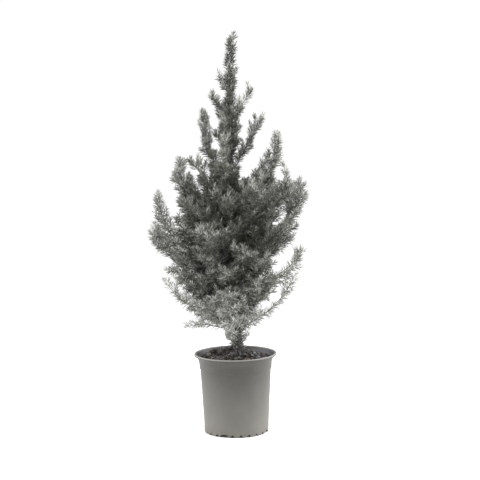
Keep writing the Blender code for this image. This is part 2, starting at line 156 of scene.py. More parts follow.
# The crown's outline: how far from the pot's axis foliage stands at each height
CROWN_OUTLINE = (
    (0.165, 0.030),
    (0.185, 0.102),
    (0.225, 0.094),
    (0.250, 0.116),
    (0.285, 0.138),
    (0.330, 0.142),
    (0.355, 0.160),
    (0.430, 0.152),
    (0.470, 0.124),
    (0.500, 0.106),
    (0.540, 0.094),
    (0.575, 0.066),
    (0.610, 0.044),
    (0.650, 0.024),
    (0.726, 0.018),
)

# Boughs, as in the solids: name, azimuth, foot's height, tip's reach, tip's height, and the bend's place as
# shares of the way out and up
LOW_BEND = (0.74, 0.32)
MID_BEND = (0.82, 0.60)
HIGH_BEND = (1.04, 0.56)
STRAIGHT = (0.66, 0.68)
BOUGHS = (
    ("left_1", 188, 0.180, 0.093, 0.193, (0.62, 2.20)),
    ("right_1", 355, 0.188, 0.111, 0.288, LOW_BEND),
    ("left_2", 204, 0.196, 0.135, 0.287, LOW_BEND),
    ("front_1", 263, 0.200, 0.097, 0.262, LOW_BEND),
    ("back_1", 84, 0.204, 0.117, 0.275, LOW_BEND),
    ("right_2", 27, 0.211, 0.129, 0.314, MID_BEND),
    ("front_2", 284, 0.232, 0.096, 0.345, MID_BEND),
    ("left_3", 171, 0.222, 0.148, 0.361, MID_BEND),
    ("right_3", 329, 0.240, 0.141, 0.337, MID_BEND),
    ("left_4", 197, 0.252, 0.138, 0.440, HIGH_BEND),
    ("back_2", 121, 0.262, 0.133, 0.392, MID_BEND),
    ("front_3", 246, 0.272, 0.115, 0.372, MID_BEND),
    ("right_4", 9, 0.286, 0.118, 0.449, HIGH_BEND),
    ("back_3", 57, 0.298, 0.119, 0.448, HIGH_BEND),
    ("left_5", 162, 0.312, 0.102, 0.497, HIGH_BEND),
    ("front_4", 294, 0.326, 0.101, 0.452, MID_BEND),
    ("right_5", 327, 0.343, 0.115, 0.474, HIGH_BEND),
    ("back_4", 95, 0.362, 0.085, 0.520, HIGH_BEND),
    ("right_6", 22, 0.374, 0.091, 0.541, HIGH_BEND),
    ("left_6", 207, 0.394, 0.085, 0.502, STRAIGHT),
    ("front_5", 258, 0.408, 0.070, 0.532, HIGH_BEND),
    ("left_7", 169, 0.424, 0.052, 0.582, HIGH_BEND),
    ("right_7", 350, 0.468, 0.052, 0.563, STRAIGHT),
)
# Short shoots of the leader, as in the solids: azimuth, foot's height, tip's reach, tip's height
LEADER_SHOOTS = (
    (64, 0.486, 0.040, 0.560),
    (252, 0.498, 0.038, 0.560),
    (184, 0.512, 0.044, 0.562),
    (118, 0.532, 0.032, 0.586),
    (300, 0.541, 0.031, 0.590),
    (356, 0.556, 0.036, 0.618),
    (170, 0.566, 0.034, 0.606),
    (70, 0.596, 0.022, 0.640),
    (205, 0.610, 0.026, 0.650),
)
# Boughs are bare from the trunk to this share of their length
BARE_SHARE = 0.16
BOUGH_RADIUS_PER_LENGTH = 0.0145
BOUGH_LEAST_RADIUS = 0.0019
BOUGH_TAPER = 0.62
GOLDEN_TURN = math.radians(137.508)
SEED = 20

# Twigs of each order: spacing along what bears them, share of what is left of it, shortest, root radius
TWIG_ORDERS = (
    (0.0062, 0.46, 0.012, 0.00105),
    (0.0070, 0.42, 0.008, 0.00070),
)
TWIG_ANGLE = math.radians(44)
TWIG_END_RADIUS = 0.00042
LAST_TWIG_SHARE = 0.97
TURN_SPREAD = 0.4
SIDE_TWIG_SHARE = 0.5
# A twig that has no room is tried again at these shares of its length
TWIG_TRIMS = (1.0, 0.8, 0.6, 0.45)
LEAST_TRIM = 0.4
# Twigs longer than this bear side twigs, from this share of their length on
FORKING_LENGTH = 0.015
FORK_START = 0.22
FORK_MOST_VIGOUR = 1.3
# By height: the longest a twig grows, how steeply it lifts, and the room that its needles need
TWIG_LONGEST = ((0.20, 0.042), (0.33, 0.036), (0.40, 0.028), (0.46, 0.021), (0.55, 0.015), (0.62, 0.012))
TWIG_LIFT = ((0.20, 0.12), (0.35, 0.42), (0.60, 0.50))
NEEDLE_ROOM = ((0.30, 0.008), (0.55, 0.007), (0.62, 0.003), (0.72, 0.001))
SKY_ROOM = 0.004
TRUNK_ROOM = 0.001
# Twigs straight off the trunk, by height: from, to, angle, how long beside those on boughs
TRUNK_TWIGS = (
    (0.156, 0.200, math.radians(84), 0.45),
    (0.158, 0.196, math.radians(76), 0.55),
    (0.160, 0.205, math.radians(80), 0.70),
    (0.166, 0.235, math.radians(70), 0.9),
    (0.200, 0.440, math.radians(50), 2.5),
    (0.300, 0.420, math.radians(62), 2.7),
    (0.430, 0.600, math.radians(40), 1.2),
    (0.575, 0.700, math.radians(34), 1.25),
)

# Limbs that grow thinner than the rest: how long their twigs are, and the share of needles they keep
HABITS = {
    "left_1": (0.36, 0.40),
    "right_1": (0.34, 0.62),
    "left_2": (0.55, 0.65),
    "left_4": (0.55, 0.70),
    "right_2": (0.72, 0.60),
    "right_3": (0.55, 0.55),
}

# Hollows in the crown's front that twigs keep out of: middle and radius
HOLLOWS = (
    ((0.034, -0.080, 0.356), 0.026),
    ((0.050, -0.075, 0.380), 0.018),
    ((0.014, -0.095, 0.310), 0.012),
    ((-0.061, -0.070, 0.293), 0.013),
    ((-0.022, -0.085, 0.327), 0.014),
)

# Places where the sky shows through the crown from the front: x, z and radius
SKY_GAPS = (
    (0.073, 0.25, 0.0095), (0.0606, 0.237, 0.0055),
    (-0.0333, 0.5586, 0.0075), (0.052, 0.532, 0.009),
    (-0.0688, 0.4752, 0.006), (0.0759, 0.3069, 0.006),
    (0.0244, 0.6002, 0.006), (0.0896, 0.399, 0.004),
    (0.0768, 0.3812, 0.004), (-0.1224, 0.3119, 0.008),
    (0.1012, 0.3156, 0.0065), (0.0189, 0.4721, 0.0035),
    (0.0215, 0.563, 0.0055), (0.02, 0.54, 0.0055),
    (0.093, 0.2994, 0.005), (0.0848, 0.2787, 0.0055),
    (0.1065, 0.298, 0.0045), (-0.083, 0.5065, 0.007),
    (-0.029, 0.521, 0.006), (0.05, 0.233, 0.007),
    (0.108, 0.464, 0.005), (0.085, 0.468, 0.005),
    (0.013, 0.49, 0.003), (-0.019, 0.496, 0.0032),
    (0.026, 0.47, 0.003), (0.002, 0.506, 0.0025),
)

# Long shoots off the trunk that fill the crown between the boughs: x, y and z of their ends, and how far
# they rise from their foot
FILL_SHOOTS = (
    (-0.0134, -0.108, 0.303, 0.042), (0.025, -0.108, 0.334, 0.042),
    (-0.0209, -0.108, 0.369, 0.042), (-0.008, -0.104, 0.428, 0.045),
    (-0.0494, -0.098, 0.332, 0.042), (0.0399, -0.095, 0.282, 0.038),
    (-0.0353, -0.085, 0.255, 0.034), (0.006, -0.088, 0.262, 0.034),
    (-0.064, -0.085, 0.372, 0.05), (0.062, -0.085, 0.318, 0.045),
    (-0.1, -0.01, 0.392, 0.085), (-0.088, -0.04, 0.425, 0.085),
    (-0.095, 0.012, 0.418, 0.095), (-0.08, 0.02, 0.455, 0.085),
    (-0.105, -0.04, 0.35, 0.075), (0.078, -0.03, 0.44, 0.085),
    (0.092, 0.005, 0.405, 0.08), (0.085, -0.055, 0.38, 0.075),
    (0.06, 0.01, 0.49, 0.08), (0.102, 0.02, 0.352, 0.07),
    (0.07, -0.045, 0.262, 0.042), (-0.078, -0.03, 0.262, 0.042),
    (-0.062, -0.055, 0.238, 0.034), (-0.088, -0.015, 0.288, 0.048),
    (-0.052, -0.005, 0.216, 0.024), (-0.04, -0.062, 0.225, 0.028),
    (0.048, -0.05, 0.232, 0.03), (-0.0005, -0.062, 0.48, 0.055),
    (-0.0511, -0.07, 0.405, 0.06), (-0.0625, -0.062, 0.29, 0.045),
    (0.0034, -0.09, 0.378, 0.05), (-0.092, -0.032, 0.372, 0.07),
    (-0.085, 0.012, 0.388, 0.08), (-0.099, 0.002, 0.362, 0.06),
    (-0.03, -0.075, 0.44, 0.06), (-0.082, -0.03, 0.272, 0.042),
    (0.056, -0.07, 0.42, 0.065), (0.03, -0.08, 0.405, 0.055),
    (0.02, 0.09, 0.3, 0.05), (-0.04, 0.085, 0.34, 0.06),
    (0.05, 0.08, 0.37, 0.065), (-0.02, 0.08, 0.42, 0.075),
    (0.03, 0.07, 0.25, 0.036), (-0.05, 0.06, 0.235, 0.03),
)
# Their bend as shares of the way out and up: it lies lower in steep shoots, most of all from this rise on
FILL_BEND_OUT = 0.6
FILL_BEND_UP = 0.72
FILL_BEND_STEEP = 0.30
FILL_STEEP_RISE = 0.085
FILL_NEEDLE_START = 0.25
FILL_TWIG_START = 0.30
FILL_HABIT = (1.25, 1.0)

# Needles: how far apart along a twig, half their width, and how much they lift
NEEDLE_SPACING = 0.00060
NEEDLE_HALF_WIDTH = 0.00073
NEEDLE_LIFT = 0.14
NEEDLE_MIDDLE = 0.45
NEEDLE_SAG = 0.07
# Needles by height: length, and angle from the twig
NEEDLE_LENGTHS = ((0.18, 0.0140), (0.40, 0.0132), (0.56, 0.0112), (0.64, 0.0130), (0.73, 0.0130))
NEEDLE_ANGLES = ((0.18, 1.20), (0.40, 1.10), (0.56, 0.98), (0.64, 1.12), (0.73, 1.05))
# Over the last stretch of a twig its needles close in to this angle and grow shorter
TWIG_TIP_STRETCH = 0.010
NEEDLE_TIP_ANGLE = math.radians(26)
NEEDLE_ANGLE_SPREAD = (0.78, 1.22)
NEEDLE_LENGTH_SPREAD = (0.75, 1.12)
NEEDLE_PAST_OUTLINE = 0.004
NEEDLE_OVER_SOIL = 0.010
MOST_NEEDLES = 30_000
# Needles straight off the trunk: from, to, spacing, radius of the trunk there
TRUNK_NEEDLES = (
    (0.150, 0.205, 0.00026, 0.0120),
    (0.172, 0.440, 0.00060, 0.0040),
    (0.440, 0.721, 0.00024, 0.0025),
)
# Tufts on the leader: where they begin, how far apart, the height of one that faces right, and the cosine
# of the turn from a tuft's middle beyond which needles are left out
TUFT_LOWEST = 0.560
TUFT_RISE = 0.034
TUFT_FOOT = 0.6460
TUFT_EDGE = -0.25

# Tints, from the most frosted to the most shaded
TINTS = (
    ("silver", (0.60, 0.605, 0.58)),
    ("pale", (0.47, 0.478, 0.45)),
    ("frost", (0.35, 0.357, 0.33)),
    ("ash", (0.25, 0.257, 0.232)),
    ("sage", (0.165, 0.172, 0.150)),
    ("dusk", (0.095, 0.100, 0.083)),
    ("shade", (0.048, 0.052, 0.040)),
)
# A spray's tint at the crown's outline, and by how much it is darker deep inside the crown, from less frost
# spray and from painted shade, and darker in front, as painted shade, and paler low down and high up. Low
# down the depth counts for less
TINT_OUTSIDE = 2.55
TINT_DEPTH = 3.7
TINT_DEPTH_LOST_LOW = 0.75
TINT_LOW = 2.05
TINT_HIGH = 0.1
TINT_FRONT_SHADE = 0.8
LOW_BELOW = 0.29
HIGH_ABOVE = 0.42
HEIGHT_BLEND = 0.10
FRONT_REACH = 0.08
SPRAY_TINT_SPREAD = 0.6
NEEDLE_TINT_SPREAD = 1.05
# Points that stand for the needles on the trunk's three stretches, and what sets the first and last apart
TRUNK_SPRAYS = ((0, 0, 0.16), (0, 0, 0.30), (0, 0, 0.66))
# Painted shade on the needles at the trunk's foot
TRUNK_FOOT_PAINTED_SHADE = 1.6
LEADER_DEPTH = 0.45
# Needles that rise by more than the first are one tint paler, by less than the second one darker
UPPER_SIDE = 0.55
UNDERSIDE = 0.05

# Bark relief
BARK_SCALES_PER_METRE = 380
BARK_STRETCH = 0.55
TRUNK_RELIEF = 0.0015
BOUGH_RELIEF = 0.0005
MOST_RELIEF = 0.22
BOUGH_FLARE = 0.5
BOUGH_FLARE_LENGTH = 0.006

# Paints: of the pot's foot, lighter with painted bounce light from the floor, of its collar, darker with
# painted shade under the crown and the rim, a painted highlight along the top of its lip, and its specks,
# and the frost on soil and bark
BLACK = (0.0, 0.0, 0.0)
WHITE = (1.0, 1.0, 1.0)
POT_FOOT_PAINT_WITH_BOUNCE_LIGHT = (0.151, 0.1455, 0.1275)
POT_COLLAR_PAINT_WITH_SHADE = (0.050, 0.0485, 0.044)
POT_LIP_HIGHLIGHT = (0.27, 0.265, 0.245)
POT_SPECKS = (0.20, 0.195, 0.180)
POT_SPECKS_SHARE = 0.28
POT_BLOTCHES = (0.92, 1.08)
# The pot's inside, darkened as painted shade, with less of it higher up
INSIDE_LOW_PAINTED_SHADE = (0.060, 0.059, 0.066)
INSIDE_HIGH_PAINTED_SHADE = (0.075, 0.074, 0.084)
SOIL_FROST = (0.20, 0.20, 0.205)
BARK_FROST = (0.145, 0.142, 0.145)

# Floor
FLOOR_RADIUS = 1.1
FLOOR_PAINT = (0.90, 0.90, 0.90)
# Sky: up to and from which sine of the angle over the horizon it has this brightness
SKY_LOW = (0.30, 1.03)
SKY_HIGH = (0.45, 0.42)

# Camera: from in front and a little above, turned a little
CAMERA_PLACE = (0.01162, -2.5, 0.627)
CAMERA_DIP = math.radians(6.33)
CAMERA_ROLL = math.radians(0.9)
CAMERA_LENS = 104.8
CAMERA_SENSOR = 36.0


# Shader nodes


class Shader:
    """A material's node tree, with short calls for the nodes that the finishes here use."""

    def __init__(self, name, roughness, specular=0.3):
        self.material = bpy.data.materials.new(name)
        self.material.use_nodes = True
        self.tree = self.material.node_tree
        self.shader = self.tree.nodes["Principled BSDF"]
        self.shader.inputs["Roughness"].default_value = roughness
        self.shader.inputs["Specular IOR Level"].default_value = specular

    def put(self, kind, **settings):
        made = self.tree.nodes.new(kind)
        for key, value in settings.items():
            setattr(made, key, value)
        return made

    def link(self, source, target):
        self.tree.links.new(source, target)

    def place(self):
        return self.put("ShaderNodeTexCoord").outputs["Object"]

    def cloud(self, scale, detail=4.0, roughness=0.6, place=None):
        """Noise of so many blotches a metre, from 0 to 1."""
        made = self.put("ShaderNodeTexNoise")
        made.inputs["Scale"].default_value = scale
        made.inputs["Detail"].default_value = detail
        made.inputs["Roughness"].default_value = roughness
        self.link(place or self.place(), made.inputs["Vector"])
        return made.outputs["Fac"]

    def ramp(self, factor, *stops):
        """Colours by a factor, between stops of a position and a colour."""
        made = self.put("ShaderNodeValToRGB")
        while len(made.color_ramp.elements) < len(stops):
            made.color_ramp.elements.new(0.5)
        for element, (position, colour) in zip(made.color_ramp.elements, stops):
            element.position = position
            element.color = (*colour, 1.0)
        self.link(factor, made.inputs["Fac"])
        return made.outputs["Color"]

    def rising(self, value, low, high):
        """From 0 where the value is low to 1 where it is high."""
        made = self.put("ShaderNodeMapRange")
        made.inputs["From Min"].default_value = low
        made.inputs["From Max"].default_value = high
        self.link(value, made.inputs["Value"])
        return made.outputs["Result"]

    def times(self, value, share):
        made = self.put("ShaderNodeMath", operation="MULTIPLY")
        self.link(value, made.inputs[0])
        made.inputs[1].default_value = share
        return made.outputs[0]

    def mix(self, factor, first, second):
        made = self.put("ShaderNodeMix", data_type="RGBA")
        self.link(factor, made.inputs[0])
        for value, socket in ((first, made.inputs[6]), (second, made.inputs[7])):
            if isinstance(value, tuple):
                socket.default_value = (*value, 1.0)
            else:
                self.link(value, socket)
        return made.outputs[2]

    def colour(self, source):
        if isinstance(source, tuple):
            self.shader.inputs["Base Color"].default_value = (*source, 1.0)
        else:
            self.link(source, self.shader.inputs["Base Color"])

    def bump(self, height, strength, distance):
        made = self.put("ShaderNodeBump")
        made.inputs["Strength"].default_value = strength
        made.inputs["Distance"].default_value = distance
        self.link(height, made.inputs["Height"])
        self.link(made.outputs["Normal"], self.shader.inputs["Normal"])


# Mesh helpers


def unit(vectors):
    return vectors / np.maximum(np.linalg.norm(vectors, axis=-1, keepdims=True), 1e-12)


def outward(azimuth):
    turn = math.radians(azimuth)
    return np.array((math.cos(turn), math.sin(turn), 0.0))


def mesh_object(name, points, triangles, finishes, choice=None, smooth=True):
    """An object of many triangles, made at once. choice picks each triangle's finish."""
    mesh = bpy.data.meshes.new(name)
    triangles = np.asarray(triangles, np.int32)
    mesh.vertices.add(len(points))
    mesh.vertices.foreach_set("co", np.asarray(points, np.float32).ravel())
    mesh.loops.add(triangles.size)
    mesh.loops.foreach_set("vertex_index", triangles.ravel())
    mesh.polygons.add(len(triangles))
    mesh.polygons.foreach_set("loop_start", np.arange(0, triangles.size, 3, dtype=np.int32))
    for finish in finishes:
        mesh.materials.append(finish)
    if choice is not None:
        mesh.polygons.foreach_set("material_index", np.asarray(choice, np.int32))
    mesh.polygons.foreach_set("use_smooth", np.full(len(triangles), smooth))
    mesh.update(calc_edges=True)
    mesh.validate()
    made = bpy.data.objects.new(name, mesh)
    bpy.context.scene.collection.objects.link(made)
    return made


def dress(piece, slot, *nodes):
    """Has a piece ride on the plant, in place of these nodes."""
    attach(piece, "root")
    if nodes:
        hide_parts(*nodes)


def ring_faces(rings, sides):
    """Triangles between rings of points that follow one another."""
    faces = []
    for i in range(rings - 1):
        for j in range(sides):
            a, b = i * sides + j, i * sides + (j + 1) % sides
            faces += [(a, b, b + sides), (a, b + sides, a + sides)]
    return faces


def tubes(lines, radii, sides):
    """Tapered tubes round many lines at once. lines is (tubes, rings, 3) and radii is (tubes, rings)."""
    count, rings = radii.shape
    ahead = unit(np.gradient(lines, axis=1))
    side = np.cross(ahead[:, :1], (0.31, 0.17, 0.93))
    side = unit(side - ahead * np.sum(side * ahead, axis=-1, keepdims=True))
    up = np.cross(ahead, side)
    turns = 2 * np.pi * np.arange(sides) / sides
    spokes = np.cos(turns)[:, None] * side[:, :, None] + np.sin(turns)[:, None] * up[:, :, None]
    points = (lines[:, :, None] + radii[:, :, None, None] * spokes).reshape(count, -1, 3)
    points = np.concatenate((points, lines[:, -1:]), axis=1)
    faces = ring_faces(rings, sides)
    last = (rings - 1) * sides
    faces += [(last + j, last + (j + 1) % sides, rings * sides) for j in range(sides)]
    per_tube = rings * sides + 1
    faces = np.asarray(faces)[None] + (np.arange(count) * per_tube)[:, None, None]
    return points.reshape(-1, 3), faces.reshape(-1, 3)


# Where the limbs run


def trunk_middle(height):
    """The trunk's middle at each height, as (n, 3)."""
    height = np.atleast_1d(np.asarray(height, float))
    heights, offsets = np.array(TRUNK_LEAN).T
    i = np.clip(np.searchsorted(heights, height) - 1, 0, len(heights) - 2)
    share = np.clip((height - heights[i]) / (heights[i + 1] - heights[i]), 0, 1)
    x = offsets[i] + (offsets[i + 1] - offsets[i]) * share * share * (3 - 2 * share)
    return np.stack((x, np.zeros_like(x), height), axis=1)


def trunk_radius(height):
    foot = SOIL_MIDDLE_HEIGHT
    share = np.clip((height - foot) / (TRUNK_TOP - foot), 0, 1)
    taper = TRUNK_TIP_RADIUS + (TRUNK_RADIUS - TRUNK_TIP_RADIUS) * (1 - share) ** 0.95
    return taper + FLARE_WIDTH * np.exp(-((height - foot) / FLARE_HEIGHT) * 1.6)


def bezier(start, bend, end, share):
    share = np.asarray(share, float)[..., None]
    return start * (1 - share) ** 2 + bend * 2 * share * (1 - share) + end * share**2


class Limb:
    """A bough's or shoot's line, from the trunk's middle to its tip, as in the solids."""

    def __init__(self, name, azimuth, foot, reach, tip, bend, bare):
        out = outward(azimuth)
        self.name = name
        self.start = trunk_middle(foot)[0]
        self.end = out * reach + np.array((0, 0, tip))
        # Boughs that run forwards or back lean with the trunk
        if abs(out[0]) < 0.9:
            self.end = self.end + trunk_middle(tip)[0] * np.array((1, 1, 0))
        run = self.end - self.start
        flat = run * np.array((1, 1, 0))
        self.bend = self.start + flat * bend[0] + np.array((0, 0, run[2] * bend[1]))
        self.bare = bare
        line = self.at(np.linspace(0, 1, 60))
        self.length = float(np.linalg.norm(np.diff(line, axis=0), axis=1).sum())
        self.root_radius = max(BOUGH_LEAST_RADIUS, BOUGH_RADIUS_PER_LENGTH * self.length)

    def at(self, share):
        return bezier(self.start, self.bend, self.end, share)


def all_limbs():
    boughs = [Limb(*row, BARE_SHARE) for row in BOUGHS]
    shoots = []
    for i, (azimuth, foot, reach, tip) in enumerate(LEADER_SHOOTS):
        shoots.append(Limb(f"shoot_{i + 1}", azimuth, foot, reach, tip, STRAIGHT, 0.0))
    return boughs, shoots


class Space:
    """The points that twigs may reach: inside the crown's outline, out of its hollows and off the trunk."""

    def __init__(self):
        self.trunk = trunk_middle(np.arange(SOIL_MIDDLE_HEIGHT, TRUNK_TOP, 0.004))
        self.trunk_reach = trunk_radius(self.trunk[:, 2])

    def allows(self, points):
        limit = np.interp(points[:, 2], *np.array(CROWN_OUTLINE).T, right=0.0)
        fits = np.linalg.norm(points[:, :2], axis=1) < limit - by_height(NEEDLE_ROOM, points[:, 2])
        for x, z, radius in SKY_GAPS:
            fits &= np.hypot(points[:, 0] - x, points[:, 2] - z) > radius + SKY_ROOM
        for middle, radius in HOLLOWS:
            fits &= np.linalg.norm(points - middle, axis=1) > radius
        clear = np.linalg.norm(self.trunk[None] - points[:, None], axis=-1) - self.trunk_reach
        return bool((fits & (clear.min(axis=1) > TRUNK_ROOM)).all())


# Growing twigs


class Twigs:
    """Curved twigs as Bezier points, with what the needles on them need to know."""

    def __init__(self):
        self.curves = []
        self.radii = []
        self.lengths = []
        self.firsts = []
        self.kept = []

    def add(self, curve, radius, length, first, kept):
        self.curves.append(curve)
        self.radii.append(radius)
        self.lengths.append(length)
        self.firsts.append(first)
        self.kept.append(kept)


def by_height(table, height):
    return np.interp(height, *np.array(table).T)


def branch(twigs, space, curve, length, first, order, dice, habit, angle=TWIG_ANGLE):
    """Adds the twigs of one order along a curve and, on each, those of the next."""
    spacing, share_left, shortest, radius = TWIG_ORDERS[order]
    vigour, kept = habit
    count = int((1 - first) * length / spacing)
    turn = dice.uniform(0, 2 * math.pi)
    for i in range(count):
        turn += GOLDEN_TURN + dice.uniform(-TURN_SPREAD, TURN_SPREAD)
        share = first + (LAST_TWIG_SHARE - first) * (i + dice.uniform(0.1, 0.9)) / count
        foot = bezier(*curve, share)
        ahead = unit(bezier(*curve, min(1.0, share + 0.02)) - bezier(*curve, max(0.0, share - 0.02)))
        side = unit(np.cross(ahead, (0.2, 0.1, 1.0)))
        out = side * math.cos(turn) + np.cross(ahead, side) * math.sin(turn)
        lean = angle * dice.uniform(0.8, 1.2)
        direction = unit(out * math.sin(lean) + ahead * math.cos(lean))
        longest = by_height(TWIG_LONGEST, foot[2]) * (1.0 if order == 0 else SIDE_TWIG_SHARE)
        left = (1 - share) * length
        grown = min(longest, share_left * left + shortest) * dice.uniform(0.75, 1.15) * vigour
        lift = by_height(TWIG_LIFT, foot[2])
        for trim in TWIG_TRIMS:
            reach = grown * trim
            end = foot + direction * reach + np.array((0, 0, lift * reach))
            bend = foot + direction * reach * 0.5
            outer = bezier(foot, bend, end, np.array((0.5, 0.8, 1.0)))
            if reach >= shortest * LEAST_TRIM and space.allows(outer):
                grown_curve = (foot, bend, end)
                twigs.add(grown_curve, radius, reach, 0.04, kept)
                if order + 1 < len(TWIG_ORDERS) and reach > FORKING_LENGTH:
                    side_habit = (min(vigour, FORK_MOST_VIGOUR), kept)
                    branch(twigs, space, grown_curve, reach, FORK_START, order + 1, dice, side_habit)
                break


def grown_twigs(boughs, shoots):
    """All twigs of the crown: on the limbs, straight off the trunk, and on the shoots that fill it."""
    space = Space()
    twigs = Twigs()
    for number, limb in enumerate(boughs + shoots):
        dice = np.random.default_rng(SEED + number)
        habit = HABITS.get(limb.name, (1.0, 1.0))
        curve = (limb.start, limb.bend, limb.end)
        stem_radius = limb.root_radius * (1 - BOUGH_TAPER) if limb.bare else TWIG_ORDERS[0][3]
        twigs.add(curve, stem_radius, limb.length, max(limb.bare, 0.12), habit[1])
        branch(twigs, space, curve, limb.length, 0.10, 0, dice, habit)
    dice = np.random.default_rng(SEED + 50)
    for bottom, top, angle, vigour in TRUNK_TWIGS:
        low, high = trunk_middle((bottom, top))
        curve = (low, (low + high) / 2, high)
        branch(twigs, space, curve, top - bottom, 0.0, 0, dice, (vigour, 1.0), angle)
    for x, y, z, rise in FILL_SHOOTS:
        foot = trunk_middle(z - rise)[0]
        end = np.array((x, y, z))
        steep = min(1.0, rise / FILL_STEEP_RISE)
        bend_up = FILL_BEND_UP - FILL_BEND_STEEP * steep
        bend = foot + (end - foot) * np.array((FILL_BEND_OUT, FILL_BEND_OUT, bend_up))
        reach = float(np.linalg.norm(end - foot))
        twigs.add((foot, bend, end), TWIG_ORDERS[0][3], reach, FILL_NEEDLE_START, 1.0)
        branch(twigs, space, (foot, bend, end), reach, FILL_TWIG_START, 1, dice, FILL_HABIT)
    return twigs


def twig_lines(twigs, rings):
    """Each twig's points at even shares, as (twigs, rings, 3)."""
    curves = np.array([np.array(curve) for curve in twigs.curves])
    share = np.linspace(0, 1, rings)[None, :, None]
    start, bend, end = (curves[:, i, None] for i in range(3))
    return start * (1 - share) ** 2 + bend * 2 * share * (1 - share) + end * share**2


# Needles


def needle_mesh(roots, directions, sags, lengths):
    """Needles pointed at both ends and bent a little: (n, 3) roots, directions and sags, (n,) lengths."""
    side = unit(np.cross(directions, (0.21, 0.13, 0.97)))
    up = np.cross(side, directions)
    turns = 2 * np.pi * np.arange(3) / 3
    spokes = np.cos(turns)[None, :, None] * side[:, None] + np.sin(turns)[None, :, None] * up[:, None]
    middle = roots + directions * (NEEDLE_MIDDLE * lengths)[:, None]
    middle = middle + sags * (NEEDLE_SAG * lengths)[:, None]
    tip = roots + directions * lengths[:, None]
    girdle = middle[:, None] + spokes * NEEDLE_HALF_WIDTH
    points = np.concatenate((roots[:, None], girdle, tip[:, None]), axis=1)
    faces = []
    for j in range(3):
        k = (j + 1) % 3
        faces += [(0, 1 + k, 1 + j), (1 + j, 1 + k, 4)]
    faces = np.asarray(faces)[None] + (np.arange(len(roots)) * 5)[:, None, None]
    return points.reshape(-1, 3), faces.reshape(-1, 3)


def needles_on(line, radius, length, first, kept, dice, spacing):
    """Roots, directions, sags and lengths of the needles along one twig's line."""
    count = max(4, int((1 - first) * length / spacing))
    share = first + (1 - first) * (np.arange(count) + dice.uniform(0, 1, count)) / count
    position = share * (len(line) - 1)
    index = np.minimum(position.astype(int), len(line) - 2)
    part = (position - index)[:, None]
    middle = line[index] * (1 - part) + line[index + 1] * part
    ahead = unit(line[index + 1] - line[index])
    side = unit(np.cross(ahead, (0.2, 0.1, 1.0)))
    turn = GOLDEN_TURN * np.arange(count) + dice.uniform(-0.6, 0.6, count)
    out = side * np.cos(turn)[:, None] + np.cross(ahead, side) * np.sin(turn)[:, None]
    from_tip = np.clip((1 - share) * length / TWIG_TIP_STRETCH, 0, 1)
    widest = by_height(NEEDLE_ANGLES, middle[:, 2])
    angle = NEEDLE_TIP_ANGLE + (widest - NEEDLE_TIP_ANGLE) * from_tip
    angle = (angle * dice.uniform(*NEEDLE_ANGLE_SPREAD, count))[:, None]
    direction = unit(out * np.sin(angle) + ahead * np.cos(angle) + np.array((0, 0, NEEDLE_LIFT)))
    sizes = by_height(NEEDLE_LENGTHS, middle[:, 2]) * dice.uniform(*NEEDLE_LENGTH_SPREAD, count)
    sizes = sizes * (0.66 + 0.34 * from_tip)
    some = dice.uniform(0, 1, count) < kept
    return [column[some] for column in (middle + out * radius * 0.6, direction, -out, sizes)]


def sprays(twigs):
    """Every needle of the crown, with the number of the spray that it belongs to."""
    lines = twig_lines(twigs, 9)
    dice = np.random.default_rng(SEED)
    found = []
    facts = zip(lines, twigs.radii, twigs.lengths, twigs.firsts, twigs.kept)
    for i, (line, radius, length, first, kept) in enumerate(facts):
        part = needles_on(line, radius, length, first, kept, dice, NEEDLE_SPACING)
        found.append((*part, np.full(len(part[0]), i)))
    for j, (low, high, spacing, radius) in enumerate(TRUNK_NEEDLES):
        stem = trunk_middle(np.linspace(low, high, 60))
        part = needles_on(stem, radius, high - low, 0.0, 1.0, dice, spacing)
        found.append((*part, np.full(len(part[0]), len(lines) + j)))
    return [np.concatenate(column) for column in zip(*found)]


def spray_tints(twigs):
    """Where each spray stands among the tints: those far out and low down have caught the most frost spray;
    the darker tint deep inside the crown is partly painted shade, and the darker tint in front is painted
    shade.
    """
    dice = np.random.default_rng(SEED + 7)
    ends = np.array([*(bezier(*curve, 0.6) for curve in twigs.curves), *TRUNK_SPRAYS])
    limit = by_height(CROWN_OUTLINE, ends[:, 2])
    depth = 1 - np.clip(np.linalg.norm(ends[:, :2], axis=1) / limit, 0, 1)
    depth[-1] = LEADER_DEPTH
    low = np.clip((LOW_BELOW - ends[:, 2]) / HEIGHT_BLEND, 0, 1)
    high = np.clip((ends[:, 2] - HIGH_ABOVE) / HEIGHT_BLEND, 0, 1)
    # Darker with depth: less frost spray, and painted shade inside the crown
    value = TINT_OUTSIDE + TINT_DEPTH * depth * (1 - TINT_DEPTH_LOST_LOW * low)
    value = value - TINT_LOW * low - TINT_HIGH * high + dice.normal(0, SPRAY_TINT_SPREAD, len(ends))
    # Painted shade on the sprays in front
    value += TINT_FRONT_SHADE * np.clip(-ends[:, 1] / FRONT_REACH, 0, 1) * (1 - low)
    # Painted shade at the trunk's foot
    value[-3] += TRUNK_FOOT_PAINTED_SHADE
    return value


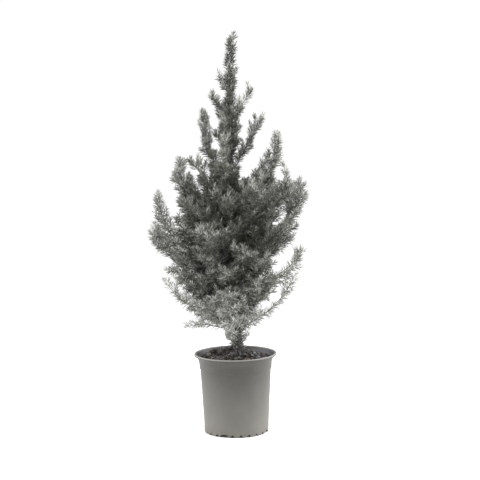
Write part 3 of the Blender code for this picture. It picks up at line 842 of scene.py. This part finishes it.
def make_needles(twigs):
    """The needles that stand inside the crown's outline, in pieces by tint."""
    roots, directions, sags, lengths, spray = sprays(twigs)
    tips = roots + directions * lengths[:, None]
    limit = np.interp(tips[:, 2], *np.array(CROWN_OUTLINE).T, right=0.0) + NEEDLE_PAST_OUTLINE
    keep = np.linalg.norm(tips[:, :2], axis=1) < limit
    keep &= (tips[:, 2] > SOIL_MIDDLE_HEIGHT + NEEDLE_OVER_SOIL) & (tips[:, 2] < TREE_HEIGHT)
    # The leader's needles stand in tufts, left and right by turns
    turn = np.arctan2(directions[:, 1], directions[:, 0])
    tuft = np.cos(2 * np.pi * (roots[:, 2] - TUFT_FOOT) / TUFT_RISE - turn)
    keep &= (spray != spray.max()) | (tuft > TUFT_EDGE) | (roots[:, 2] < TUFT_LOWEST)
    for x, z, radius in SKY_GAPS:
        keep &= np.hypot(tips[:, 0] - x, tips[:, 2] - z) > radius
    tint = spray_tints(twigs)[spray]
    tint += np.where(directions[:, 2] > UPPER_SIDE, -1, 0)
    tint += np.where(directions[:, 2] < UNDERSIDE, 1, 0)
    tint += np.random.default_rng(SEED + 9).normal(0, NEEDLE_TINT_SPREAD, len(tint))
    tint = np.clip(np.round(tint), 0, len(TINTS) - 1)
    for i, (name, colour) in enumerate(TINTS):
        chosen = np.flatnonzero(keep & (tint == i))
        shader = Shader("needle_" + name, 0.6, 0.35)
        shader.colour(colour)
        for part, at in enumerate(range(0, len(chosen), MOST_NEEDLES)):
            some = chosen[at : at + MOST_NEEDLES]
            points, faces = needle_mesh(roots[some], directions[some], sags[some], lengths[some])
            title = f"needles_{name}_{part + 1}"
            piece = mesh_object(title, points, faces, [shader.material], smooth=False)
            dress(piece, "frosted_needles")


def make_twigs(twigs):
    lines = twig_lines(twigs, 6)
    root = np.array(twigs.radii)[:, None]
    taper = np.linspace(1, 0, 6)[None] ** 0.8
    radii = TWIG_END_RADIUS + (root - TWIG_END_RADIUS) * taper
    points, faces = tubes(lines, radii, 5)
    shader = Shader("twig_bark", 0.8, 0.25)
    frost = shader.cloud(420)
    shader.colour(shader.ramp(frost, (0.35, (0.10, 0.075, 0.055)), (0.62, (0.26, 0.25, 0.225))))
    piece = mesh_object("twigs", points, faces, [shader.material])
    nodes = [name for name in frame["nodes"] if name.startswith("foliage_")]
    dress(piece, "frosted_needles", *nodes)


# Trunk and boughs


def relief(point):
    """Rough scaly bark: noise about 0, from its place in metres, with scales longer than they are wide."""
    scale = BARK_SCALES_PER_METRE
    place = Vector((point[0] * scale, point[1] * scale, point[2] * scale * BARK_STRETCH))
    return noise.fractal(place, 1.0, 2.1, 4) + 0.6 * (0.5 - noise.cell(place * 0.9))


def bark_tube(line, radii, sides, depth):
    """One limb with bark relief, as points and triangles closed at its tip."""
    points, faces = tubes(line[None], radii[None], sides)
    middles = np.repeat(line, sides, axis=0)
    for i, middle in enumerate(middles):
        out = points[i] - middle
        size = np.linalg.norm(out)
        points[i] += out / size * min(depth, MOST_RELIEF * size) * relief(points[i])
    return points, faces


def bark_finish():
    shader = Shader("bark", 0.85, 0.2)
    place = shader.place()
    scales = shader.cloud(260, 6.0, 0.65, place)
    frost = shader.cloud(900, 3.0, 0.7, place)
    wood = shader.ramp(scales, (0.36, (0.016, 0.014, 0.013)), (0.66, (0.11, 0.103, 0.10)))
    spots = shader.ramp(frost, (0.46, BLACK), (0.62, WHITE))
    shader.colour(shader.mix(spots, wood, BARK_FROST))
    shader.bump(scales, 1.0, 0.0016)
    return shader.material


def make_limbs(boughs):
    """The trunk, the bare part of each bough, and the roots round the trunk's foot."""
    foot = SOIL_MIDDLE_HEIGHT - 0.002
    heights = foot + (TRUNK_TOP - foot) * np.linspace(0, 1, 260) ** 1.3
    parts = [bark_tube(trunk_middle(heights), trunk_radius(heights), 44, TRUNK_RELIEF)]
    for limb in boughs:
        shares = np.linspace(0.01, BARE_SHARE + 0.2, 26)
        stem_radius = limb.root_radius * (1 - BOUGH_TAPER)
        radii = np.interp(shares, (0, BARE_SHARE), (limb.root_radius, stem_radius))
        flare = 1 + BOUGH_FLARE * np.exp(-shares * limb.length / BOUGH_FLARE_LENGTH)
        parts.append(bark_tube(limb.at(shares), radii * flare, 12, BOUGH_RELIEF))
    points, faces, base = [], [], 0
    for own_points, own_faces in parts:
        points.append(own_points)
        faces.append(own_faces + base)
        base += len(own_points)
    finish = bark_finish()
    piece = mesh_object("bark_limbs", np.concatenate(points), np.concatenate(faces), [finish])
    nodes = [name for name in frame["nodes"] if name.startswith("bough_")]
    dress(piece, "bark", "trunk", *nodes)
    make_roots(finish)


# Pot and soil


def lathe_object(name, profile, sides, finish):
    """A closed turned shape whose outline runs from the axis back to the axis."""
    points = []
    for radius, height in profile[1:-1]:
        for i in range(sides):
            turn = 2 * math.pi * i / sides
            points.append((radius * math.cos(turn), radius * math.sin(turn), height))
    rings = len(profile) - 2
    faces = ring_faces(rings, sides)
    for ring, (_, height) in ((0, profile[0]), (rings - 1, profile[-1])):
        points.append((0.0, 0.0, height))
        middle = len(points) - 1
        for j in range(sides):
            pair = (ring * sides + j, ring * sides + (j + 1) % sides)
            faces.append((*(pair if ring else pair[::-1]), middle))
    return mesh_object(name, points, faces, [finish])


def rounded(corners, radius, steps=4):
    """The outline with its inner corners rounded off."""
    out = [corners[0]]
    for before, here, after in zip(corners, corners[1:], corners[2:]):
        before, here, after = (np.array(p, float) for p in (before, here, after))
        room = min(radius, 0.45 * np.linalg.norm(before - here), 0.45 * np.linalg.norm(after - here))
        start = here + unit(before - here) * room
        end = here + unit(after - here) * room
        out += [tuple(bezier(start, here, end, share)) for share in np.linspace(0, 1, steps)]
    return [*out, corners[-1]]


def wall_radius(height):
    return BASE_RADIUS + (WALL_TOP_RADIUS - BASE_RADIUS) * height / COLLAR_LOW


def pot_profile():
    """The pot's outline: a foot ring round a recessed underside, the wall, the collar, and a rolled lip."""
    wall = [(wall_radius(h), h) for h in np.linspace(0.01, COLLAR_LOW - 0.004, 14)]
    corners = [
        (0, RECESS),
        (BASE_RADIUS - FOOT_RING - 0.001, RECESS),
        (BASE_RADIUS - FOOT_RING, 0),
        (BASE_RADIUS, 0),
        *wall,
        (WALL_TOP_RADIUS, COLLAR_LOW),
        (COLLAR_RADIUS - 0.5 * POT_EDGE, COLLAR_LOW + 0.8 * POT_EDGE),
        (COLLAR_RADIUS, COLLAR_HIGH),
        (COLLAR_RADIUS + COLLAR_FLARE, COLLAR_HIGH + 0.0060),
        (RIM_RADIUS - 0.0042, LIP_FOOT - 0.0012),
        (RIM_RADIUS - 0.0008, LIP_FOOT),
        (RIM_RADIUS, LIP_FOOT + 0.0012),
        (RIM_RADIUS, POT_HEIGHT - 0.0009),
        (RIM_RADIUS - 0.0009, POT_HEIGHT),
        (RIM_RADIUS - 0.0030, POT_HEIGHT),
        (RIM_RADIUS - 0.0042, POT_HEIGHT - 0.0010),
        (RIM_RADIUS - 0.0055, LIP_FOOT - 0.0010),
        (COLLAR_RADIUS + COLLAR_FLARE - POT_WALL, COLLAR_HIGH + 0.0055),
        (COLLAR_RADIUS - POT_WALL, COLLAR_HIGH),
        (WALL_TOP_RADIUS - POT_WALL, COLLAR_LOW),
        (wall_radius(0.0) - POT_WALL, RECESS + POT_FLOOR),
        (0, RECESS + POT_FLOOR),
    ]
    return rounded(corners, EDGE_ROUND)


def notch_cutter(azimuth, width, height):
    """A drain notch's rounded arch, run in through the foot of the wall."""
    across = unit(np.cross((0, 0, 1), outward(azimuth)))
    arch = [(-width / 2, -NOTCH_BELOW)]
    for i in range(NOTCH_ARCH_STEPS + 1):
        turn = math.pi * (1 - i / NOTCH_ARCH_STEPS)
        arch.append((width / 2 * math.cos(turn), height * (0.35 + 0.65 * math.sin(turn))))
    arch.append((width / 2, -NOTCH_BELOW))
    work = bmesh.new()
    rows = []
    for radius in (BASE_RADIUS - NOTCH_DEPTH, BASE_RADIUS + NOTCH_PAST_WALL):
        row = []
        for side, up in arch:
            place = outward(azimuth) * radius + across * side + np.array((0, 0, up))
            row.append(work.verts.new(place))
        rows.append(row)
    work.faces.new(rows[0])
    work.faces.new(rows[1])
    for i in range(len(arch)):
        j = (i + 1) % len(arch)
        work.faces.new((rows[0][i], rows[0][j], rows[1][j], rows[1][i]))
    bmesh.ops.recalc_face_normals(work, faces=work.faces)
    mesh = bpy.data.meshes.new("notch")
    work.to_mesh(mesh)
    work.free()
    return bpy.data.objects.new("notch", mesh)


def pot_finish(name, low, high):
    """Matt sprayed plastic whose colour goes from a low one to a high one up the wall as painted light and
    shade, with a painted highlight along the top of the lip, and specked.
    """
    shader = Shader(name, 0.55, 0.35)
    place = shader.place()
    blotches = shader.cloud(28, 3.0, 0.5, place)
    specks = shader.cloud(1500, 2.0, 0.7, place)
    parts = shader.put("ShaderNodeSeparateXYZ")
    shader.link(place, parts.inputs[0])
    # Painted light and shade by height: the low colour at the foot, the high one at the collar
    level = shader.rising(parts.outputs["Z"], 0.0, 0.115)
    # Painted highlight along the top of the lip
    lip_highlight = shader.rising(parts.outputs["Z"], POT_HEIGHT - 0.0022, POT_HEIGHT - 0.0004)
    shades = []
    for colour in (low, high):
        dim, bright = (tuple(factor * c for c in colour) for factor in POT_BLOTCHES)
        shades.append(shader.ramp(blotches, (0.3, dim), (0.7, bright)))
    coat_light_and_shade = shader.mix(level, *shades)
    coat_light_and_shade = shader.mix(lip_highlight, coat_light_and_shade, POT_LIP_HIGHLIGHT)
    spots = shader.ramp(specks, (0.40, BLACK), (0.72, WHITE))
    shader.colour(shader.mix(shader.times(spots, POT_SPECKS_SHARE), coat_light_and_shade, POT_SPECKS))
    shader.bump(specks, 0.25, 0.0003)
    return shader.material


def make_pot():
    outer = pot_finish("pot_plastic", POT_FOOT_PAINT_WITH_BOUNCE_LIGHT, POT_COLLAR_PAINT_WITH_SHADE)
    # A darker finish inside the pot: painted shade
    inner = pot_finish("pot_inside_painted_shade", INSIDE_LOW_PAINTED_SHADE, INSIDE_HIGH_PAINTED_SHADE)
    pot = lathe_object("pot_shell", pot_profile(), 128, outer)
    pot.data.materials.append(inner)
    cutters = bpy.data.collections.new("notches")
    bpy.context.scene.collection.children.link(cutters)
    for i in range(NOTCH_COUNT):
        size = NOTCH_WIDE if i % WIDE_NOTCH_EVERY == 0 else NOTCH_SMALL
        cutters.objects.link(notch_cutter(NOTCH_PHASE + 360 * i / NOTCH_COUNT, *size))
    boolean = pot.modifiers.new("notches", "BOOLEAN")
    boolean.operation = "DIFFERENCE"
    boolean.operand_type = "COLLECTION"
    boolean.collection = cutters
    bpy.context.view_layer.update()
    graph = bpy.context.evaluated_depsgraph_get()
    mesh = bpy.data.meshes.new_from_object(pot.evaluated_get(graph))
    pot.modifiers.clear()
    pot.data = mesh
    for cutter in list(cutters.objects):
        bpy.data.objects.remove(cutter)
    bpy.data.collections.remove(cutters)
    pot.data.shade_smooth()
    pot.data.set_sharp_from_angle(angle=SHARP_ANGLE)
    for face in pot.data.polygons:
        outwards = face.normal.x * face.center.x + face.normal.y * face.center.y
        inside = outwards < -0.2 * face.center.xy.length and face.center.z > RECESS
        face.material_index = 1 if inside else 0
    dress(pot, "pot_plastic", "pot")


def soil_height(x, y):
    """The bed's height: level near the wall, heaped round the trunk and to its left, with lumps."""
    radius = math.hypot(x, y)
    limit = WALL_TOP_RADIUS - POT_WALL
    share = max(0.0, (radius - HEAP_TOP_RADIUS) / (limit - HEAP_TOP_RADIUS))
    mound = SOIL_TOP + (SOIL_SHORE - SOIL_TOP) * min(1.0, share) ** HEAP_SLOPE
    from_heap = (x - SIDE_HEAP_PLACE[0]) ** 2 + (y - SIDE_HEAP_PLACE[1]) ** 2
    mound += SIDE_HEAP_HEIGHT * math.exp(-from_heap / SIDE_HEAP_SPREAD)
    place = Vector((x * LUMPS_PER_METRE, y * LUMPS_PER_METRE, 0.3))
    return mound + LUMP_HEIGHT * noise.fractal(place, 1.0, 2.0, 5)


def soil_finish(name, dark, light, spotted):
    """Crumbly matter from a dark to a light colour, with frost on a share of it."""
    shader = Shader(name, 0.92, 0.2)
    place = shader.place()
    lumps = shader.cloud(520, 6.0, 0.7, place)
    frost = shader.cloud(260, 4.0, 0.7, place)
    earth = shader.ramp(lumps, (0.35, dark), (0.72, light))
    spots = shader.ramp(frost, (0.50, BLACK), (0.66, WHITE))
    shader.colour(shader.mix(shader.times(spots, spotted), earth, SOIL_FROST))
    shader.bump(lumps, 1.0, 0.0015)
    return shader.material


def make_soil():
    """The bed of soil, down the pot's wall to the foot of its collar, and what lies on it."""
    edge = WALL_TOP_RADIUS + 0.4 * (COLLAR_RADIUS - WALL_TOP_RADIUS) - POT_WALL - SOIL_GAP
    rings, sides = 34, 120
    points = [(0.0, 0.0, soil_height(0, 0))]
    faces = []
    for i in range(1, rings + 1):
        for j in range(sides):
            turn = 2 * math.pi * j / sides
            x = edge * i / rings * math.cos(turn)
            y = edge * i / rings * math.sin(turn)
            points.append((x, y, soil_height(x, y)))
    for j in range(sides):
        points.append((points[-sides][0], points[-sides][1], COLLAR_LOW))
    for j in range(sides):
        faces.append((0, 1 + j, 1 + (j + 1) % sides))
    for i in range(rings):
        for j in range(sides):
            a, b = 1 + i * sides + j, 1 + i * sides + (j + 1) % sides
            faces += [(a, a + sides, b + sides), (a, b + sides, b)]
    finish = soil_finish("potting_soil", (0.008, 0.007, 0.006), (0.07, 0.06, 0.052), 0.6)
    soil = mesh_object("soil_bed", points, faces, [finish])
    dress(soil, "potting_soil", "soil")
    make_chips(edge)


def make_chips(edge):
    """Bits of bark, peat and a little perlite that lie on the soil, each a lumpy eight-sided chip."""
    dice = np.random.default_rng(SEED + 3)
    finishes = [
        soil_finish("bark_chip", (0.006, 0.005, 0.004), (0.055, 0.042, 0.033), 0.25),
        soil_finish("grey_chip", (0.040, 0.038, 0.038), (0.30, 0.29, 0.285), 0.9),
        soil_finish("tan_chip", (0.05, 0.038, 0.028), (0.22, 0.18, 0.14), 0.4),
        soil_finish("perlite", (0.35, 0.34, 0.32), (0.55, 0.54, 0.51), 0.1),
    ]
    corners = np.array([(x, y, z) for x in (-1, 1) for y in (-1, 1) for z in (-1, 1)], float)
    quads = ((0, 1, 3, 2), (4, 6, 7, 5), (0, 4, 5, 1), (2, 3, 7, 6), (0, 2, 6, 4), (1, 5, 7, 3))
    points, faces, choice = [], [], []
    for i in range(CHIPS):
        big = i < BIG_CHIPS
        radius = (edge - (0.006 if big else 0.002)) * math.sqrt(dice.uniform(0.02, 1.0))
        turn = dice.uniform(0, 2 * math.pi)
        x, y = radius * math.cos(turn), radius * math.sin(turn)
        size = dice.uniform(*(BIG_CHIP_SIZE if big else SMALL_CHIP_SIZE))
        shape = corners * size * dice.uniform((0.8, 0.45, 0.22), (1.6, 0.9, 0.6))
        shape += dice.uniform(-0.35, 0.35, (8, 3)) * size * 0.7
        spin = Matrix.Rotation(dice.uniform(0, 6.28), 3, "Z")
        spin = spin @ Matrix.Rotation(dice.normal(0, 0.45), 3, "X")
        spin = spin @ Matrix.Rotation(dice.normal(0, 0.35), 3, "Y")
        base = len(points)
        for corner in shape:
            at = spin @ Vector(corner)
            points.append((x + at.x, y + at.y, soil_height(x, y) + at.z + 0.2 * size))
        kind = int(dice.choice(len(finishes), p=CHIP_SHARES))
        for a, b, c, d in quads:
            faces += [(base + a, base + b, base + c), (base + a, base + c, base + d)]
            choice += [kind, kind]
    chips = mesh_object("soil_chips", points, faces, finishes, choice, smooth=False)
    dress(chips, "potting_soil")


def make_roots(finish):
    """Fibrous surface roots that spread from the trunk's flare down the heap of soil."""
    dice = np.random.default_rng(SEED + 5)
    lines, radii = [], []
    for i in range(ROOTS):
        turn = 2 * math.pi * (i * 0.382 + dice.uniform(-0.02, 0.02))
        top = dice.uniform(0.3, 1.2)
        reach = dice.uniform(*ROOT_REACH)
        line = []
        for share in np.linspace(0, 1, 9):
            swing = turn + share * dice.normal(0, 0.10) + 0.25 * math.sin(3 * share + i)
            radius = ROOT_START + reach * share
            x, y = radius * math.cos(swing) + 0.004, radius * math.sin(swing)
            lift = ROOT_RISE * (1 - share) ** 3 * top
            line.append((x, y, soil_height(x, y) + lift + dice.uniform(-0.0004, 0.0006)))
        lines.append(line)
        radii.append(np.linspace(dice.uniform(*ROOT_RADIUS), ROOT_TIP_RADIUS, 9))
    points, faces = tubes(np.array(lines), np.array(radii), 6)
    dress(mesh_object("surface_roots", points, faces, [finish]), "bark")


# Floor, light and camera


def make_stage():
    """A round pale floor, whose edge meets the pale foot of the studio's sky."""
    shader = Shader("pale_floor", 0.9, 0.1)
    shader.colour(FLOOR_PAINT)
    sides = 96
    points = [(0.0, 0.0, 0.0)]
    for j in range(sides):
        turn = 2 * math.pi * j / sides
        points.append((FLOOR_RADIUS * math.cos(turn), FLOOR_RADIUS * math.sin(turn), 0.0))
    faces = [(0, 1 + j, 1 + (j + 1) % sides) for j in range(sides)]
    mesh_object("floor", points, faces, [shader.material])


def make_sky():
    """Studio surroundings, white from below to a little above the horizon and dimmer overhead."""
    world = bpy.data.worlds.new("studio")
    world.use_nodes = True
    nodes, links = world.node_tree.nodes, world.node_tree.links
    place = nodes.new("ShaderNodeTexCoord")
    parts = nodes.new("ShaderNodeSeparateXYZ")
    ramp = nodes.new("ShaderNodeValToRGB")
    for element, (position, grey) in zip(ramp.color_ramp.elements, (SKY_LOW, SKY_HIGH)):
        element.position = position
        element.color = (grey, grey, grey, 1.0)
    links.new(place.outputs["Generated"], parts.inputs[0])
    links.new(parts.outputs["Z"], ramp.inputs["Fac"])
    links.new(ramp.outputs["Color"], nodes["Background"].inputs["Color"])
    bpy.context.scene.world = world


def area_light(name, place, target, size, watts):
    light = bpy.data.lights.new(name, "AREA")
    light.shape = "RECTANGLE"
    light.size, light.size_y = size
    light.energy = watts
    made = bpy.data.objects.new(name, light)
    made.location = place
    made.rotation_euler = (Vector(target) - Vector(place)).to_track_quat("-Z", "Y").to_euler()
    bpy.context.scene.collection.objects.link(made)


def make_light():
    middle = (0, 0, 0.35)
    area_light("left_softbox", (-1.6, 0.1, 0.9), middle, (0.9, 1.8), 36)
    area_light("right_softbox", (1.6, 0.2, 0.9), middle, (0.9, 1.8), 46)
    area_light("top_softbox", (0, -0.1, 2.4), middle, (2.2, 2.2), 75)


def make_camera():
    data = bpy.data.cameras.new("camera")
    data.lens = CAMERA_LENS
    data.sensor_width = CAMERA_SENSOR
    camera = bpy.data.objects.new("camera", data)
    camera.location = CAMERA_PLACE
    dip = Matrix.Rotation(math.pi / 2 - CAMERA_DIP, 4, "X")
    roll = Matrix.Rotation(-CAMERA_ROLL, 4, "Z")
    camera.rotation_euler = (dip @ roll).to_euler()
    bpy.context.scene.collection.objects.link(camera)
    bpy.context.scene.camera = camera


make_camera()
make_light()
make_sky()
make_stage()
make_pot()
make_soil()
boughs, shoots = all_limbs()
make_limbs(boughs)
twigs = grown_twigs(boughs, shoots)
make_twigs(twigs)
make_needles(twigs)
bpy.context.scene.view_settings.view_transform = "Standard"
